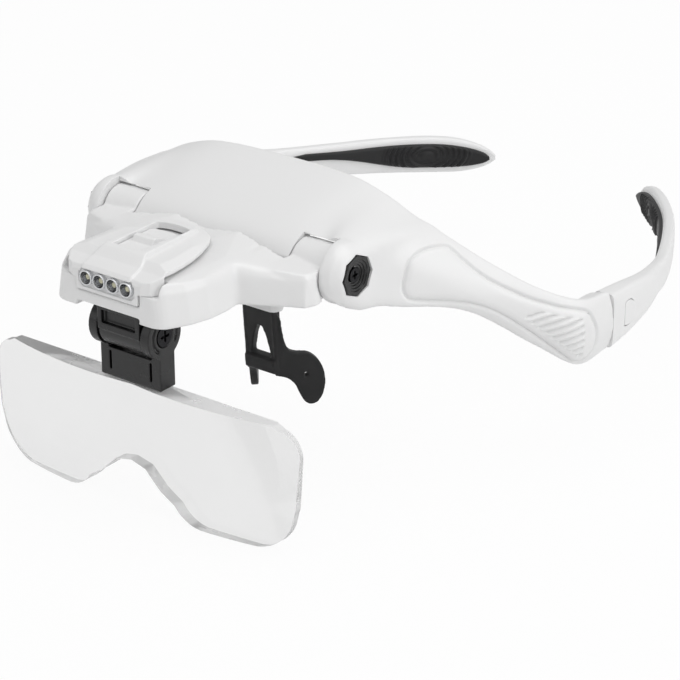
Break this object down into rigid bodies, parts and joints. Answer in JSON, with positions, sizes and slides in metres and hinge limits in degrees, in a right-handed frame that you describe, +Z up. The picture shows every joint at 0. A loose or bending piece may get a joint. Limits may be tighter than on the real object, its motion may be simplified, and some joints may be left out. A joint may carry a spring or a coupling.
{
  "type": "lighted headband magnifier",
  "caption": "Head-worn magnifier: white visor frame with legs, tilting bracket with slide-in lamp, flip-down acrylic lens on a black hinge, nose pad.",
  "frame": {"origin": "middle of the tilt axis of the front bracket, which runs through the two pivots in the frame's cheeks", "axes": "+X is the wearer's left, -Y is forward from the wearer's face towards the lens, +Z is up"},
  "size_m": [0.156, 0.2058, 0.0737],
  "materials": {
    "white": "glossy white moulded plastic",
    "black_plastic": "satin black moulded plastic",
    "black_steel": "black coated screw steel",
    "rubber": "matte black soft rubber",
    "lens_acrylic": "clear polished acrylic",
    "led_resin": "clear resin with a dark centre",
    "steel": "plain zinc-plated steel",
    "cell_steel": "bright nickel-plated can",
    "brass": "bare spring brass",
    "board": "green solder mask"
  },
  "bodies": {
    "frame": {"main_frame": "white", "pivot_cap_left": "black_plastic", "pivot_cap_right": "black_plastic", "pivot_screw_left": "black_steel", "pivot_screw_right": "black_steel", "pivot_washer_left": "steel", "pivot_washer_right": "steel", "pivot_nut_left": "steel", "pivot_nut_right": "steel"},
    "bracket": {"front_bracket": "white", "hinge_clip": "black_plastic", "clip_screws": "steel", "hinge_washers": "steel"},
    "lamp": {"lamp_cover": "white", "lamp_base": "white", "leds": "led_resin", "circuit_board": "board", "button_cells": "cell_steel", "contact_spring": "brass", "contact_strip": "brass", "lamp_screws": "steel"},
    "switch": {"switch_slider": "white"},
    "holder": {"lens_holder": "black_plastic", "hinge_screw": "black_steel", "hinge_nut": "steel"},
    "lens": {"lens": "lens_acrylic"},
    "nose_pad": {"nose_pad": "rubber"},
    "leg_left": {"leg_left": "white", "leg_pad_left": "rubber"},
    "leg_right": {"leg_right": "white", "leg_pad_right": "rubber"},
    "latch_left": {"leg_latch_left": "white"},
    "latch_right": {"leg_latch_right": "white"}
  },
  "joints": [
    {"name": "bracket_tilt", "type": "hinge", "parent": "frame", "child": "bracket", "pos_m": [0, 0, 0], "axis": [1, 0, 0], "range_deg": [-45, 15]},
    {"name": "lamp_slide", "type": "slide", "parent": "bracket", "child": "lamp", "axis": [0, -1, 0], "range_m": [0, 0.03]},
    {"name": "switch_slide", "type": "slide", "parent": "lamp", "child": "switch", "axis": [0, 1, 0], "range_m": [0, 0.003]},
    {"name": "lens_flip", "type": "hinge", "parent": "bracket", "child": "holder", "pos_m": [0, -0.0343, -0.0119], "axis": [1, 0, 0], "range_deg": [-95, 8]},
    {"name": "lens_release", "type": "slide", "parent": "holder", "child": "lens", "axis": [0, 0, -1], "range_m": [0, 0.009]},
    {"name": "nose_pad_slide", "type": "slide", "parent": "frame", "child": "nose_pad", "axis": [0, 0, -1], "range_m": [0, 0.007]},
    {"name": "leg_release_left", "type": "slide", "parent": "frame", "child": "leg_left", "axis": [0, 1, 0], "range_m": [0, 0.011]},
    {"name": "leg_release_right", "type": "slide", "parent": "frame", "child": "leg_right", "axis": [0, 1, 0], "range_m": [0, 0.011]},
    {"name": "leg_latch_press_left", "type": "slide", "parent": "leg_left", "child": "latch_left", "axis": [1, 0, 0], "range_m": [0, 0.0008], "stiffness_N_per_m": 700, "springref_m": -0.0003},
    {"name": "leg_latch_press_right", "type": "slide", "parent": "leg_right", "child": "latch_right", "axis": [-1, 0, 0], "range_m": [0, 0.0008], "stiffness_N_per_m": 700, "springref_m": -0.0003}
  ]
}
